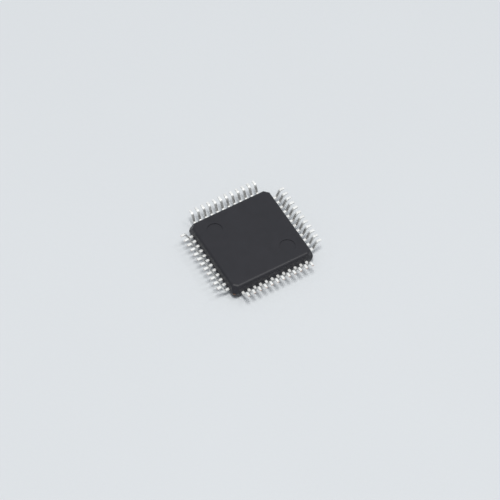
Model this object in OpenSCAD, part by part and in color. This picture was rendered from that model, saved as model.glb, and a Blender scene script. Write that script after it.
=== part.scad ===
// Low-profile quad flat pack with 48 gull-wing leads.
//
// The chip lies on its top face with its leads up, as a loose one often comes
// to rest. The origin is the centre of the face that it lies on, +Z is up and
// the sides of the body run along X and Y. Units are millimetres.

/* [Moulded body] */
// Side of the square body at its parting line
body_side = 7; // [7:0.1:8]
// Thickness of the body between its two faces
body_thick = 1.4; // [1.3:0.05:1.6]
// Draft of the side walls away from the parting line, in degrees
draft = 12; // [5:1:15]
// Upright band round the parting line, where the two mould halves close
parting_band = 0.16; // [0.14:0.01:0.2]
// Length that the chamfer at each corner takes off a side, at the parting line
corner_cut = 0.22; // [0.2:0.01:0.35]
// Draft of those chamfers, in degrees
corner_draft = 27; // [20:1:30]
// Radius along the edges of both faces
edge_round = 0.25; // [0.1:0.01:0.3]
// How far the flash between neighbouring leads stands out of the parting band
flash_proud = 0.03; // [0.01:0.01:0.04]
// Width of the broken-off gate on the chamfer of one corner
gate_w = 0.16; // [0.1:0.01:0.2]
// Height of the gate over the parting band
gate_h = 0.2; // [0.1:0.01:0.25]
// How far the gate stands out of the chamfer
gate_proud = 0.03; // [0.01:0.01:0.04]

/* [Marks in the faces] */
// Diameter of the two ejector pin marks in the face between the feet
ejector_mark_d = 1.25; // [0.8:0.05:1.5]
// Distance of an ejector pin mark from the middle along X and along Y
ejector_mark_at = 2; // [1.5:0.1:2.2]
// Depth of an ejector pin mark
ejector_mark_depth = 0.04; // [0.02:0.01:0.1]
// Diameter of the dimple that marks pin 1 in the face that the chip lies on
pin1_dimple_d = 1; // [0.6:0.1:1.2]
// Distance of the pin 1 dimple from the middle along X and along Y
pin1_dimple_at = 2.4; // [2:0.1:2.5]
// Depth of the pin 1 dimple
pin1_dimple_depth = 0.05; // [0.02:0.01:0.1]

/* [Leads] */
// Leads along each side
leads_per_side = 12; // [8:1:12]
// Distance between the middles of neighbouring leads
pitch = 0.5; // [0.48:0.01:0.5]
// Width of a lead outside the body
lead_w = 0.2; // [0.17:0.01:0.27]
// Thickness of the lead frame's sheet
frame_t = 0.127; // [0.1:0.001:0.13]
// Size from the toes of one side to the toes of the opposite side
toe_span = 9; // [8.8:0.1:9.2]
// Height of the soles of the feet over the face of the body between them
standoff = 0.1; // [0.05:0.01:0.15]
// Straight shoulder from the body to the first bend
shoulder = 0.24; // [0.18:0.01:0.26]
// Inner radius of both bends
bend_r = 0.09; // [0.08:0.01:0.12]
// Angle of the riser from the plane of the lead frame, in degrees
riser_angle = 68; // [66:1:80]
// Length of the stub that trimming the dam bar leaves on each side of a lead
dambar_stub = 0.015; // [0.01:0.005:0.03]

/* [Lead frame inside the body] */
// Half the side of the square that the inner ends of the leads stand on
inner_ring = 2.3; // [2.25:0.01:2.35]
// Distance between the middles of neighbouring inner ends
inner_pitch = 0.35; // [0.34:0.01:0.36]
// Width of an inner end, along its side of the square
inner_w = 0.16; // [0.14:0.01:0.17]
// Side of the square die pad
pad_side = 4; // [3.6:0.1:4]
// Distance that the die pad is set down from the plane of the leads
pad_downset = 0.2; // [0.15:0.01:0.25]
// Width of the tie bars that hold the die pad by its corners
tie_bar_w = 0.2; // [0.16:0.01:0.22]
// Length of tie bar that the trimming leaves standing out of a corner
tie_bar_proud = 0.02; // [0.01:0.01:0.04]

/* [Die and bonding] */
// Side of the square die
die_side = 3; // [2.6:0.1:3]
// Thickness of the die
die_t = 0.28; // [0.2:0.01:0.3]
// Thickness of the adhesive under the die
attach_t = 0.03; // [0.02:0.01:0.04]
// Width of the adhesive fillet that shows round the die
attach_margin = 0.1; // [0.05:0.01:0.15]
// Diameter of the gold bond wire
wire_d = 0.025; // [0.02:0.001:0.03]
// Height of a wire's loop over the die
loop_h = 0.15; // [0.12:0.01:0.2]

/* [Hidden] */
lead_count = 4 * leads_per_side;
bend_steps = 6;  // flats in each bend of a lead
edge_steps = 6;  // flats in each rounded edge of the body
overlap = 0.3;   // how far a tie bar reaches over the corner of the die pad
flash_root = 0.1;  // how far the flash is let into the body

// Heights over the face that the chip lies on
parting_z = body_thick / 2;
sole_z = body_thick + standoff;
frame_low_z = parting_z - frame_t / 2;  // side of the leads that the wires are bonded to
pad_z = parting_z + pad_downset;
pad_low_z = pad_z - frame_t / 2;
die_back_z = pad_low_z - attach_t;
die_face_z = die_back_z - die_t;        // active face, turned to the chip's top
loop_z = die_face_z - loop_h;

// Body, out from the middle
half_side = body_side / 2;
half_corner = (body_side - corner_cut) / sqrt(2);
gate_turn = -45;  // the corner at +X, -Y

// Lead, out from the middle
finger_knee = half_side - 0.35;  // where a lead turns from the fan to its own pitch
bend_mid_r = bend_r + frame_t / 2;
first_bend = half_side + shoulder;
dambar_from = half_side + 0.05;
dambar_w = 0.1;

// Tie bar, out along a diagonal
pad_corner = pad_side / sqrt(2);
downset_from = pad_corner + 0.2;
downset_angle = 35;
downset_to = downset_from + pad_downset / tan(downset_angle);

// Bond wire: a square section of the same area as the round wire
wire_t = wire_d * sqrt(PI) / 2;
ball_d = 2.4 * wire_d;
ball_t = 0.6 * wire_d;
bond_pad_in = 0.07;  // middle of a bond pad, in from the edge of the die
stitch_in = 0.12;    // end of a wire, in from the end of its lead
stitch_l = 0.08;
knee = 0.04;         // corner cut off the wire at the top of its loop

function lead_name(n) = str("lead_", n < 10 ? "0" : "", n);

// ---- Outlines ----

function reversed(list) = [for (i = [len(list) - 1:-1:0]) list[i]];

// Points on the circle of radius r round c, from angle a to angle b
function arc(c, r, a, b, steps) = [
    for (i = [0:steps])
        let (angle = a + (b - a) * i / steps)
            c + r * [cos(angle), sin(angle)]
];

function heading(from, to) = atan2(to.y - from.y, to.x - from.x);

// One edge of a strip that follows a path, with mitred corners
function strip_edge(path, offset) = [
    for (i = [0:len(path) - 1])
        let (
            last = len(path) - 1,
            into = heading(path[max(i - 1, 0)], path[max(i, 1)]),
            out = heading(path[min(i, last - 1)], path[min(i + 1, last)]),
            across = (into + out) / 2 + 90
        )
            path[i] + offset / cos((out - into) / 2) * [cos(across), sin(across)]
];

// Outline of a strip of thickness t whose middle line is the path
function strip(path, t) = concat(strip_edge(path, t / 2), reversed(strip_edge(path, -t / 2)));

// Right half of the body's section: two walls that lean in from the parting band,
// half_w out from the middle, with the edges of both faces rounded
function wall(half_w, lean) = let (
    band = parting_band / 2,
    face_edge = half_w - (parting_z - band) * tan(lean),
    round_x = face_edge - edge_round * (1 - sin(lean)) / cos(lean)
) concat(
    arc([round_x, edge_round], edge_round, -90, -lean, edge_steps),
    [[half_w, parting_z - band], [half_w, parting_z + band]],
    arc([round_x, body_thick - edge_round], edge_round, lean, 90, edge_steps)
);

function mirrored(right) = concat(right, [for (p = reversed(right)) [-p.x, p.y]]);

// Middle line of a lead outside the body, as [distance out, height]
function gull_wing() = let (
    foot_z = sole_z - frame_t / 2,
    bend_x = bend_mid_r * sin(riser_angle),
    bend_z = bend_mid_r * (1 - cos(riser_angle)),
    riser_x = (foot_z - parting_z - 2 * bend_z) / tan(riser_angle),
    foot_from = first_bend + riser_x + 2 * bend_x
) concat(
    [[half_side, parting_z]],
    arc([first_bend, parting_z + bend_mid_r], bend_mid_r, -90, riser_angle - 90, bend_steps),
    arc([foot_from, foot_z - bend_mid_r], bend_mid_r, 90 + riser_angle, 90, bend_steps),
    [[toe_span / 2, foot_z]]
);

// Plan of a lead inside the body: from its inner end, fanned out to its own pitch
function finger(inner_v, v) = [
    [inner_ring, inner_v - inner_w / 2],
    [finger_knee, v - lead_w / 2],
    [half_side, v - lead_w / 2],
    [half_side, v + lead_w / 2],
    [finger_knee, v + lead_w / 2],
    [inner_ring, inner_v + inner_w / 2]
];

// ---- Places ----

// Leads run clockwise from the corner at -X, -Y, seen from above the feet
function side_of(n) = floor((n - 1) / leads_per_side);
function steps_from_middle(n) = (leads_per_side - 1) / 2 - (n - 1) % leads_per_side;

// Places a child that is drawn on the +X side on the side of lead n
module on_side_of(n) {
    rotate([0, 0, 180 - 90 * side_of(n)]) children();
}

// Extrudes an outline drawn as [distance out, height] to a width, centred on y = 0
module upright(width) {
    rotate([90, 0, 0]) linear_extrude(height = width, center = true) children();
}

// ---- Pieces ----

// The outside of the body: one prism across each pair of sides and of corners
module body_outside() {
    length = 2 * body_side;
    side_wall = wall(half_side, draft);
    corner_wall = wall(half_corner, corner_draft);
    intersection_for (turn = [0:45:135])
        rotate([0, 0, turn]) upright(length)
            polygon(mirrored(turn % 90 == 0 ? side_wall : corner_wall));
}

// Resin that ran out between the leads as far as their dam bar let it
module flash() {
    width = (leads_per_side - 1) * pitch;
    for (n = [1:leads_per_side:lead_count])
        on_side_of(n) translate([half_side - flash_root, -width / 2, frame_low_z])
            cube([flash_root + flash_proud, width, frame_t]);
}

// What is left of the gate that the resin came in by
module gate() {
    foot = parting_z + parting_band / 2;
    slope = tan(corner_draft);
    rotate([0, 0, gate_turn]) upright(gate_w) polygon([
        [half_corner - gate_h, foot],
        [half_corner + gate_proud, foot],
        [half_corner + gate_proud - gate_h / 2 * slope, foot + gate_h / 2],
        [half_corner - gate_h * slope, foot + gate_h],
        [half_corner - gate_h, foot + gate_h]
    ]);
}

module ejector_marks() {
    for (at = [[-ejector_mark_at, ejector_mark_at], [ejector_mark_at, -ejector_mark_at]])
        translate([at.x, at.y, body_thick - ejector_mark_depth])
            cylinder(d = ejector_mark_d, h = 2 * ejector_mark_depth, $fn = 48);
}

module pin1_dimple() {
    translate([-pin1_dimple_at, -pin1_dimple_at, -pin1_dimple_depth])
        cylinder(d = pin1_dimple_d, h = 2 * pin1_dimple_depth, $fn = 48);
}

module mold_body() {
    color([0.24, 0.24, 0.25]) difference() {
        union() {
            body_outside();
            flash();
            gate();
        }
        ejector_marks();
        pin1_dimple();
        die_pad();
        die_attach();
        die();
        bond_wires();
        for (n = [1:lead_count]) lead(n);
    }
}

module lead(n) {
    steps = steps_from_middle(n);
    v = steps * pitch;
    color([0.78, 0.79, 0.8]) on_side_of(n) {
        translate([0, 0, frame_low_z]) linear_extrude(height = frame_t)
            polygon(finger(steps * inner_pitch, v));
        translate([0, v, 0]) upright(lead_w) polygon(strip(gull_wing(), frame_t));
        translate([dambar_from, v - lead_w / 2 - dambar_stub, frame_low_z])
            cube([dambar_w, lead_w + 2 * dambar_stub, frame_t]);
    }
}

// Square paddle, set down from the leads, with a bent tie bar to each corner of the body
module die_pad() {
    bar = [
        [pad_corner - overlap, pad_z],
        [downset_from, pad_z],
        [downset_to, parting_z],
        [half_corner + tie_bar_proud, parting_z]
    ];
    color([0.8, 0.55, 0.4]) {
        translate([-pad_side / 2, -pad_side / 2, pad_low_z]) cube([pad_side, pad_side, frame_t]);
        for (turn = [45:90:315])
            rotate([0, 0, turn]) upright(tie_bar_w) polygon(strip(bar, frame_t));
    }
}

module die_attach() {
    side = die_side + 2 * attach_margin;
    color([0.75, 0.74, 0.7])
        translate([-side / 2, -side / 2, die_back_z]) cube([side, side, attach_t]);
}

module die() {
    color([0.35, 0.37, 0.42])
        translate([-die_side / 2, -die_side / 2, die_face_z]) cube([die_side, die_side, die_t]);
}

// Ball bond on the die, loop, and stitch bond on the inner end of lead n
module bond_wire(n) {
    steps = steps_from_middle(n);
    bond_pad_pitch = (die_side - 4 * bond_pad_in) / (leads_per_side - 1);
    from = [die_side / 2 - bond_pad_in, steps * bond_pad_pitch];
    to = [inner_ring + stitch_in, steps * inner_pitch];
    run = norm(to - from);
    stitch_z = frame_low_z - wire_t / 2;
    path = [
        [0, die_face_z - ball_t],
        [0, loop_z + knee],
        [knee, loop_z],
        [run - stitch_l, stitch_z],
        [run, stitch_z]
    ];
    on_side_of(n) translate([from.x, from.y, 0]) rotate([0, 0, heading(from, to)]) {
        upright(wire_t) polygon(strip(path, wire_t));
        translate([0, 0, die_face_z - ball_t]) cylinder(d = ball_d, h = ball_t, $fn = 8);
    }
}

module bond_wires() {
    color([0.9, 0.7, 0.3]) for (n = [1:lead_count]) bond_wire(n);
}

mold_body();
die_pad();
die_attach();
die();
bond_wires();
for (n = [1:lead_count]) lead(n);
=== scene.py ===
import math

import bmesh
import bpy
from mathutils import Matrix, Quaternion, Vector


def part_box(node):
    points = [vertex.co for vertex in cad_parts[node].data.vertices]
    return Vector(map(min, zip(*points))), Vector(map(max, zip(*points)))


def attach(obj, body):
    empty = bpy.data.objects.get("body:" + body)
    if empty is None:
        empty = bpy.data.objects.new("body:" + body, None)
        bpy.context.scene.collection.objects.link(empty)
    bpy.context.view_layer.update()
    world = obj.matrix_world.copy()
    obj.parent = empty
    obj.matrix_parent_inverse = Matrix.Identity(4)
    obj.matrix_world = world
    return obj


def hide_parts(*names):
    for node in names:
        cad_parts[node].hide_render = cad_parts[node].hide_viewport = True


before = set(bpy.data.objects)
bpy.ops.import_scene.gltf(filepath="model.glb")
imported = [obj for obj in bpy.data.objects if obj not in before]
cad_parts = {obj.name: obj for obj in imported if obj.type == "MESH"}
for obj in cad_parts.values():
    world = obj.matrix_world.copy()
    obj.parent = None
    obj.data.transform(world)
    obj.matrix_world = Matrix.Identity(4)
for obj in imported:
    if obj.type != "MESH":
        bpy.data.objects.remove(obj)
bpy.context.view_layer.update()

# Looks of a 48-lead quad flat pack chip that lies on its top face with its leads up.
# Lengths are millimetres until they go into Blender, which works in metres.

MM = 0.001

# ---- Driving dimensions ----

BODY_LOW, BODY_HIGH = (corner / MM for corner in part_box("mold_body"))
LEADS = sorted(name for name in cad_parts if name.startswith("lead_"))
LEAD_LOW, LEAD_HIGH = (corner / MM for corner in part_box(LEADS[0]))

PER_SIDE = len(LEADS) // 4
PARTING_Z = (BODY_LOW.z + BODY_HIGH.z) / 2
SHEET_T = 2 * (PARTING_Z - LEAD_LOW.z)
SOLE_Z = LEAD_HIGH.z
TOE = -LEAD_LOW.x
INNER_END = -LEAD_HIGH.x
CORNER_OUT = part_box("die_pad")[1].xy.length / MM
BROWN_FROM, BROWN_FULL = 0.2, 0.1  # how far inside that corner bare copper starts and ends browning

HALF_SIDE = 3.5       # half the body's side at its parting line, without the flash
PITCH = 0.5
LEAD_W = 0.2
SHOULDER = 0.24
BEND_R = 0.09
RISER_ANGLE = math.radians(68)
INNER_PITCH = 0.35
INNER_W = 0.16
KNEE_IN = 0.35        # from the side of the body to where a lead leaves its fan
DAMBAR_OUT = 0.05     # from the side of the body to the trimmed dam bar
DAMBAR_W = 0.1
DAMBAR_STUB = 0.015
TRIM_STEP = 0.004     # how far a trimmed stub takes to rise to its full width
ROLLED_EDGE = 0.03    # radius of the edges that the stamping punch draws in
BURRED_EDGE = 0.015   # radius of the edges on the punch's far side, once plated
TOE_EDGE = 0.012      # chamfer round the trimmed toe
TOE_RAKE = 0.012      # how far the trimmed toe slopes back over the sheet's thickness
BEND_STEPS = 12
EDGE_STEPS = 3
SAME_SURFACE = math.cos(math.radians(35))  # a face shares a vertex's normal if it leans less than this

# ---- Nodes ----

# A Mix node's sockets that work on colours, by their place, because its socket names repeat
COLOR_MIX_FACTOR, COLOR_MIX_A, COLOR_MIX_B, COLOR_MIX_RESULT = 0, 6, 7, 2


def add(tree, kind, inputs=None, **settings):
    """A shader node with its settings made and its inputs linked or filled."""
    made = tree.nodes.new("ShaderNode" + kind)
    for name, value in settings.items():
        setattr(made, name, value)
    for name, value in (inputs or {}).items():
        if isinstance(value, bpy.types.NodeSocket):
            tree.links.new(value, made.inputs[name])
        else:
            made.inputs[name].default_value = value
    return made


def millimetres(tree):
    """The piece's own coordinates, in millimetres."""
    inputs = {"Vector": add(tree, "TexCoord").outputs["Object"], "Scale": 1 / MM}
    return add(tree, "VectorMath", inputs, operation="SCALE").outputs["Vector"]


def noise(tree, place, size, detail=2.0, roughness=0.5, distortion=0.0):
    """Noise with features of about this size in millimetres, from 0 to 1."""
    inputs = {
        "Vector": place,
        "Scale": 1 / size,
        "Detail": detail,
        "Roughness": roughness,
        "Distortion": distortion,
    }
    return add(tree, "TexNoise", inputs).outputs["Fac"]


def stretched(tree, place, scale):
    """Coordinates in which noise is drawn out along the axes with the smaller scale."""
    return add(tree, "Mapping", {"Vector": place, "Scale": scale}).outputs["Vector"]


def ranged(tree, value, low, high, start=0.3, end=0.7):
    """value from start to end, mapped to low to high."""
    inputs = {"Value": value, "From Min": start, "From Max": end, "To Min": low, "To Max": high}
    return add(tree, "MapRange", inputs).outputs["Result"]


def mixed(tree, factor, first, second):
    """The first colour where factor is 0, the second where it is 1."""
    inputs = {COLOR_MIX_FACTOR: factor, COLOR_MIX_A: first, COLOR_MIX_B: second}
    return add(tree, "Mix", inputs, data_type="RGBA").outputs[COLOR_MIX_RESULT]


def summed(tree, first, second, weight):
    """first + second * weight"""
    inputs = {0: second, 1: weight, 2: first}
    return add(tree, "Math", inputs, operation="MULTIPLY_ADD").outputs[0]


def bumped(tree, height, depth):
    """A normal for relief this many millimetres deep."""
    inputs = {"Height": height, "Distance": depth * MM, "Strength": 1.0}
    return add(tree, "Bump", inputs).outputs["Normal"]


def new_material(name):
    """A material whose node tree holds only its output, and that output."""
    made = bpy.data.materials.new(name)
    made.use_nodes = True
    made.node_tree.nodes.clear()
    return made, made.node_tree, add(made.node_tree, "OutputMaterial")


def principled(tree, output, **inputs):
    """Connects a Principled shader whose inputs are given with _ for each space."""
    words = {name.replace("_", " "): value for name, value in inputs.items()}
    shader = add(tree, "BsdfPrincipled", words)
    tree.links.new(shader.outputs[0], output.inputs["Surface"])


# ---- Materials ----


def mould_compound():
    """Black filled epoxy, with the fine spark-eroded grain of its mould."""
    made, tree, output = new_material("mould_compound")
    place = millimetres(tree)
    grain = noise(tree, place, 0.035, detail=3, roughness=0.6)
    flow = noise(tree, place, 0.9, detail=4, roughness=0.6, distortion=0.6)
    specks = noise(tree, place, 0.012, detail=1)
    tone = summed(tree, summed(tree, flow, grain, 0.5), specks, 0.4)
    color = mixed(
        tree,
        ranged(tree, tone, 0, 1, start=0.7, end=1.2),
        (0.0035, 0.0032, 0.0070, 1),
        (0.0065, 0.0060, 0.0110, 1),
    )
    height = summed(tree, grain, specks, 0.4)
    principled(
        tree,
        output,
        Base_Color=color,
        Roughness=ranged(tree, flow, 0.42, 0.48),
        Specular_IOR_Level=0.5,
        Normal=bumped(tree, height, 0.004),
    )
    return made


def tin_plating():
    """Matte tin: a fine grain, faint waves, and broad patches of tone."""
    made, tree, output = new_material("tin_plating")
    place = millimetres(tree)
    grain = noise(tree, place, 0.012, detail=2)
    waves = noise(tree, place, 0.08, detail=2)
    patches = noise(tree, place, 0.35, detail=3)
    color = mixed(
        tree,
        ranged(tree, patches, 0, 1),
        (0.72, 0.715, 0.70, 1),
        (0.82, 0.82, 0.81, 1),
    )
    height = summed(tree, waves, grain, 0.5)
    principled(
        tree,
        output,
        Base_Color=color,
        Metallic=1.0,
        Roughness=ranged(tree, summed(tree, patches, grain, 0.3), 0.54, 0.66, start=0.4, end=0.85),
        Normal=bumped(tree, height, 0.003),
    )
    return made


def bare_copper():
    """Sheared end of a lead: copper alloy with lines along the cut and smears of tin."""
    made, tree, output = new_material("bare_copper")
    place = millimetres(tree)
    lines = noise(tree, stretched(tree, place, (4, 4, 0.6)), 0.05, detail=3)
    smears = noise(tree, place, 0.06, detail=2)
    color = mixed(
        tree,
        ranged(tree, smears, 0, 1, start=0.5, end=0.65),
        (0.66, 0.37, 0.25, 1),
        (0.72, 0.68, 0.64, 1),
    )
    principled(
        tree,
        output,
        Base_Color=color,
        Metallic=1.0,
        Roughness=ranged(tree, lines, 0.35, 0.55),
        Normal=bumped(tree, lines, 0.004),
    )
    return made


def lead_frame_copper():
    """Rolled copper alloy: lines along the sheet, gone brown where the tie bars were cut."""
    made, tree, output = new_material("lead_frame_copper")
    place = millimetres(tree)
    lines = noise(tree, stretched(tree, place, (1, 12, 1)), 0.15, detail=3)
    patches = noise(tree, place, 0.3, detail=3)
    out = add(tree, "VectorMath", {0: place}, operation="LENGTH").outputs["Value"]
    fresh = mixed(tree, ranged(tree, patches, 0, 1), (0.62, 0.35, 0.23, 1), (0.72, 0.44, 0.30, 1))
    color = mixed(
        tree,
        ranged(tree, out, 0, 1, start=CORNER_OUT - BROWN_FROM, end=CORNER_OUT - BROWN_FULL),
        fresh,
        (0.16, 0.095, 0.065, 1),
    )
    principled(
        tree,
        output,
        Base_Color=color,
        Metallic=1.0,
        Roughness=ranged(tree, patches, 0.35, 0.5),
        Normal=bumped(tree, lines, 0.003),
    )
    return made


def silver_epoxy():
    """Grey adhesive filled with silver flakes."""
    made, tree, output = new_material("silver_epoxy")
    place = millimetres(tree)
    flakes = noise(tree, place, 0.01, detail=2)
    color = mixed(tree, ranged(tree, flakes, 0, 1), (0.42, 0.41, 0.39, 1), (0.66, 0.65, 0.62, 1))
    principled(
        tree,
        output,
        Base_Color=color,
        Metallic=ranged(tree, flakes, 0.4, 0.9),
        Roughness=ranged(tree, flakes, 0.35, 0.65),
        Normal=bumped(tree, flakes, 0.002),
    )
    return made


def silicon():
    """Polished silicon whose wiring shows as faint blocks and bands."""
    made, tree, output = new_material("silicon")
    place = millimetres(tree)
    blocks = add(tree, "TexVoronoi", {"Vector": place, "Scale": 2.5}, distance="CHEBYCHEV")
    rows = noise(tree, stretched(tree, place, (1, 40, 1)), 0.4, detail=1)
    haze = noise(tree, place, 0.5, detail=2)
    tone = summed(tree, blocks.outputs["Distance"], rows, 0.5)
    color = mixed(
        tree,
        ranged(tree, tone, 0, 1, start=0.2, end=0.9),
        (0.10, 0.11, 0.14, 1),
        (0.24, 0.23, 0.26, 1),
    )
    principled(
        tree,
        output,
        Base_Color=color,
        Metallic=0.8,
        Roughness=ranged(tree, haze, 0.12, 0.25),
        Normal=bumped(tree, rows, 0.0005),
    )
    return made


def gold():
    """Drawn gold wire with the faintest die lines."""
    made, tree, output = new_material("gold")
    place = millimetres(tree)
    lines = noise(tree, place, 0.01, detail=2)
    color = mixed(tree, ranged(tree, lines, 0, 1), (0.92, 0.68, 0.28, 1), (1.0, 0.78, 0.38, 1))
    principled(
        tree,
        output,
        Base_Color=color,
        Metallic=1.0,
        Roughness=ranged(tree, lines, 0.15, 0.28),
        Normal=bumped(tree, lines, 0.0005),
    )
    return made


def paper_floor(color):
    """Matte pale surface with the faintest tooth."""
    made, tree, output = new_material("pale_floor")
    place = millimetres(tree)
    tooth = noise(tree, place, 0.25, detail=3)
    broad = noise(tree, place, 18, detail=2)
    darker, paler = ([channel * shade for channel in color] + [1] for shade in (0.995, 1.005))
    tone = mixed(tree, ranged(tree, broad, 0, 1), darker, paler)
    principled(
        tree,
        output,
        Base_Color=tone,
        Roughness=0.9,
        Specular_IOR_Level=0.2,
        Normal=bumped(tree, tooth, 0.01),
    )
    return made


# ---- Leads ----


def arc(centre, radius, start, end):
    """Points and headings along a bend, as (out, up, heading)."""
    turn = 1 if end > start else -1
    for i in range(BEND_STEPS + 1):
        angle = start + (end - start) * i / BEND_STEPS
        point = centre[0] + radius * math.cos(angle), centre[1] + radius * math.sin(angle)
        yield (*point, angle + turn * math.pi / 2)


def lead_stations(inner_v, v):
    """Stations along a lead, as (out, along its side, up, heading, half its width)."""
    mid_r = BEND_R + SHEET_T / 2
    foot_z = SOLE_Z - SHEET_T / 2
    first_bend = HALF_SIDE + SHOULDER
    rise = foot_z - PARTING_Z - 2 * mid_r * (1 - math.cos(RISER_ANGLE))
    foot_from = first_bend + rise / math.tan(RISER_ANGLE) + 2 * mid_r * math.sin(RISER_ANGLE)
    half = LEAD_W / 2
    bar = HALF_SIDE + DAMBAR_OUT
    flat = [
        (INNER_END, inner_v, INNER_W / 2),
        (HALF_SIDE - KNEE_IN, v, half),
        (bar, v, half),
        (bar + TRIM_STEP, v, half + DAMBAR_STUB),
        (bar + DAMBAR_W - TRIM_STEP, v, half + DAMBAR_STUB),
        (bar + DAMBAR_W, v, half),
    ]
    quarter = math.pi / 2
    up = arc((first_bend, PARTING_Z + mid_r), mid_r, -quarter, RISER_ANGLE - quarter)
    over = arc((foot_from, foot_z - mid_r), mid_r, quarter + RISER_ANGLE, quarter)
    stations = [(u, along, PARTING_Z, 0.0, w) for u, along, w in flat]
    stations += [(u, v, z, heading, half) for u, z, heading in (*up, *over)]
    stations.append((TOE - TOE_EDGE, v, foot_z, 0.0, half))
    return stations


def lead_section(half_w, inset):
    """Section of a lead, with its stamped edges rounded: points and normals as (across, up)."""
    half_t = SHEET_T / 2
    for side, top, start in ((1, 1, 0), (-1, 1, 90), (-1, -1, 180), (1, -1, 270)):
        radius = ROLLED_EDGE if top > 0 else BURRED_EDGE
        for i in range(EDGE_STEPS + 1):
            angle = math.radians(start + 90 * i / EDGE_STEPS)
            normal = math.cos(angle), math.sin(angle)
            corner = side * (half_w - radius), top * (half_t - radius)
            point = tuple(c + (radius - inset) * n for c, n in zip(corner, normal))
            yield point, normal


def ring(station, inset=0.0, rake=0.0):
    """A lead's section at a station, drawn on the +X side: its points and their normals."""
    u, v, z, heading, half_w = station
    points, normals = [], []
    for (across, up), (sideways, upward) in lead_section(half_w, inset):
        out = u - up * math.sin(heading) - rake * (0.5 - up / SHEET_T)
        points.append(Vector((out, v + across, z + up * math.cos(heading))) * MM)
        normals.append(Vector((-upward * math.sin(heading), sideways, upward * math.cos(heading))))
    return points, normals


def lead_mesh(name, steps, turn):
    """One lead: its finger in the body, its trimmed dam bar and its formed gull wing."""
    stations = lead_stations(steps * INNER_PITCH, steps * PITCH)
    rings = [ring(station) for station in stations]
    last = stations[-1]
    rings.append(ring((TOE, *last[1:]), inset=TOE_EDGE, rake=TOE_RAKE))
    around = len(rings[0][0])
    faces = []
    for start in range(0, (len(rings) - 1) * around, around):
        for i in range(around):
            after = (i + 1) % around
            faces.append((start + after, start + around + after, start + around + i, start + i))
    faces.append(tuple(range(around))[::-1])
    faces.append(tuple(range((len(rings) - 1) * around, len(rings) * around)))
    turned = Quaternion((0, 0, 1), turn)
    points = [turned @ point for points, normals in rings for point in points]
    normals = [turned @ normal for points, normals in rings for normal in normals]
    data = bpy.data.meshes.new(name)
    data.from_pydata(points, [], faces)
    data.polygons[-1].material_index = 1
    shade_smooth(data, normals)
    return data


def shade_smooth(data, normals):
    """Gives each corner its vertex's own normal, or its face's where the two are far apart."""
    data.shade_smooth()
    corners = []
    for polygon in data.polygons:
        for vertex in polygon.vertices:
            own = normals[vertex]
            corners.append(own if own.dot(polygon.normal) > SAME_SURFACE else polygon.normal.copy())
    data.normals_split_custom_set(corners)


def make_leads(materials):
    """The formed leads, which stand for the CAD leads; the second material is on their toes."""
    for n, name in enumerate(LEADS):
        side, place = divmod(n, PER_SIDE)
        steps = (PER_SIDE - 1) / 2 - place
        turn = math.pi - side * math.pi / 2
        data = lead_mesh(name + "_formed", steps, turn)
        for material in materials:
            data.materials.append(material)
        lead = bpy.data.objects.new(name + "_formed", data)
        bpy.context.scene.collection.objects.link(lead)
        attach(lead, "root")
        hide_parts(name)


# ---- Finishes of the CAD nodes ----


def finish_node(name, material):
    """Gives a CAD node that stays as it is its material."""
    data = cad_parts[name].data
    data.materials.clear()
    data.materials.append(material)


# ---- Camera, floor and light ----

VIEW_AZIMUTH = math.radians(-30.49)
VIEW_ELEVATION = math.radians(55.4)
VIEW_ROLL = math.radians(0.556)
VIEW_DISTANCE = 228.2
VIEW_AIM = Vector((-0.12, -0.075, 0))
LENS = 217.0
SENSOR = 36

FLOOR_COLOR = (0.735, 0.765, 0.79)
FLOOR_HALF = 2000

# Shares of the light on the floor: what a white surface there sends back is their sum
DOME_SHARE = 0.38
KEY_SHARE = 0.54
SIDE_SHARE = 0.09

DOME_COLOR = (0.96, 0.985, 1.03)
DOME_LEVEL, DOME_TOP_LEVEL = 0.75, 1.12
DOME_TOP = 0.9        # height on the unit sky from which the dome has its top level
LAMP_DISTANCE = 500
LAMP_SIZE = 130
KEY_ELEVATION = math.radians(78)
KEY_COLOR = (1.0, 0.985, 0.96)
SIDE_AZIMUTH = math.radians(62)
SIDE_ELEVATION = math.radians(70)
SIDE_COLOR = (1.0, 1.0, 1.0)


def direction(azimuth, elevation):
    """Unit vector to a camera or lamp at this azimuth and elevation."""
    level = math.cos(elevation)
    return Vector((math.sin(azimuth) * level, -math.cos(azimuth) * level, math.sin(elevation)))


def make_camera():
    """Camera at the photograph's viewing angle."""
    camera = bpy.data.objects.new("camera", bpy.data.cameras.new("camera"))
    bpy.context.scene.collection.objects.link(camera)
    back = direction(VIEW_AZIMUTH, VIEW_ELEVATION)
    camera.data.lens = LENS
    camera.data.sensor_width = SENSOR
    camera.data.clip_start = 1 * MM
    camera.data.clip_end = 5 * FLOOR_HALF * MM
    camera.location = (VIEW_AIM + back * VIEW_DISTANCE) * MM
    camera.rotation_mode = "QUATERNION"
    camera.rotation_quaternion = back.to_track_quat("Z", "Y") @ Quaternion((0, 0, 1), VIEW_ROLL)
    bpy.context.scene.camera = camera


def make_lamp(name, azimuth, elevation, share, color):
    """Round area lamp that sends this share of white light to the floor at the origin."""
    distance = LAMP_DISTANCE * MM
    data = bpy.data.lights.new(name, "AREA")
    data.shape = "DISK"
    data.size = LAMP_SIZE * MM
    data.color = color
    data.energy = share * math.pi**2 * distance**2 / math.sin(elevation)
    lamp = bpy.data.objects.new(name, data)
    bpy.context.scene.collection.objects.link(lamp)
    toward = direction(azimuth, elevation)
    lamp.location = toward * distance
    lamp.rotation_mode = "QUATERNION"
    lamp.rotation_quaternion = toward.to_track_quat("Z", "Y")
    lamp.visible_camera = False


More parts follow.
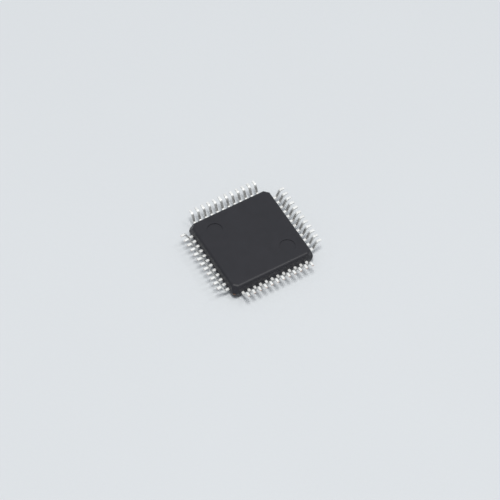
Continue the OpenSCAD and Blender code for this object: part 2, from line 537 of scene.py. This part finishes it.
def make_world():
    """Soft dome, a little brighter above; where seen or mirrored it has the floor's colour."""
    world = bpy.data.worlds.new("studio")
    bpy.context.scene.world = world
    world.use_nodes = True
    tree = world.node_tree
    tree.nodes.clear()
    sky = add(tree, "TexCoord").outputs["Generated"]
    up = add(tree, "SeparateXYZ", {"Vector": sky}).outputs["Z"]
    level = ranged(tree, up, DOME_LEVEL, DOME_TOP_LEVEL, start=0.0, end=DOME_TOP)
    strength = add(tree, "Math", {0: level, 1: DOME_SHARE}, operation="MULTIPLY").outputs[0]
    dome = add(tree, "Background", {"Color": (*DOME_COLOR, 1), "Strength": strength})
    seen = add(tree, "Background", {"Color": (*FLOOR_COLOR, 1), "Strength": 1.0})
    rays = add(tree, "LightPath").outputs
    showing = rays["Is Camera Ray"]
    for kind in ("Is Glossy Ray", "Is Transmission Ray"):
        showing = add(tree, "Math", {0: showing, 1: rays[kind]}, operation="MAXIMUM").outputs[0]
    mix = add(tree, "MixShader", {0: showing, 1: dome.outputs[0], 2: seen.outputs[0]})
    output = add(tree, "OutputWorld")
    tree.links.new(mix.outputs[0], output.inputs["Surface"])


def make_floor():
    """Plain pale floor, which the chip lies on."""
    mesh = bmesh.new()
    bmesh.ops.create_grid(mesh, x_segments=1, y_segments=1, size=FLOOR_HALF * MM)
    data = bpy.data.meshes.new("floor")
    mesh.to_mesh(data)
    mesh.free()
    data.materials.append(paper_floor(FLOOR_COLOR))
    floor = bpy.data.objects.new("floor", data)
    bpy.context.scene.collection.objects.link(floor)


make_camera()
make_world()
make_floor()
make_lamp("key", VIEW_AZIMUTH, KEY_ELEVATION, KEY_SHARE, KEY_COLOR)
make_lamp("side", SIDE_AZIMUTH, SIDE_ELEVATION, SIDE_SHARE, SIDE_COLOR)
bpy.context.scene.view_settings.view_transform = "Standard"

make_leads([tin_plating(), bare_copper()])
finish_node("mold_body", mould_compound())
finish_node("die_pad", lead_frame_copper())
finish_node("die_attach", silver_epoxy())
finish_node("die", silicon())
finish_node("bond_wires", gold())
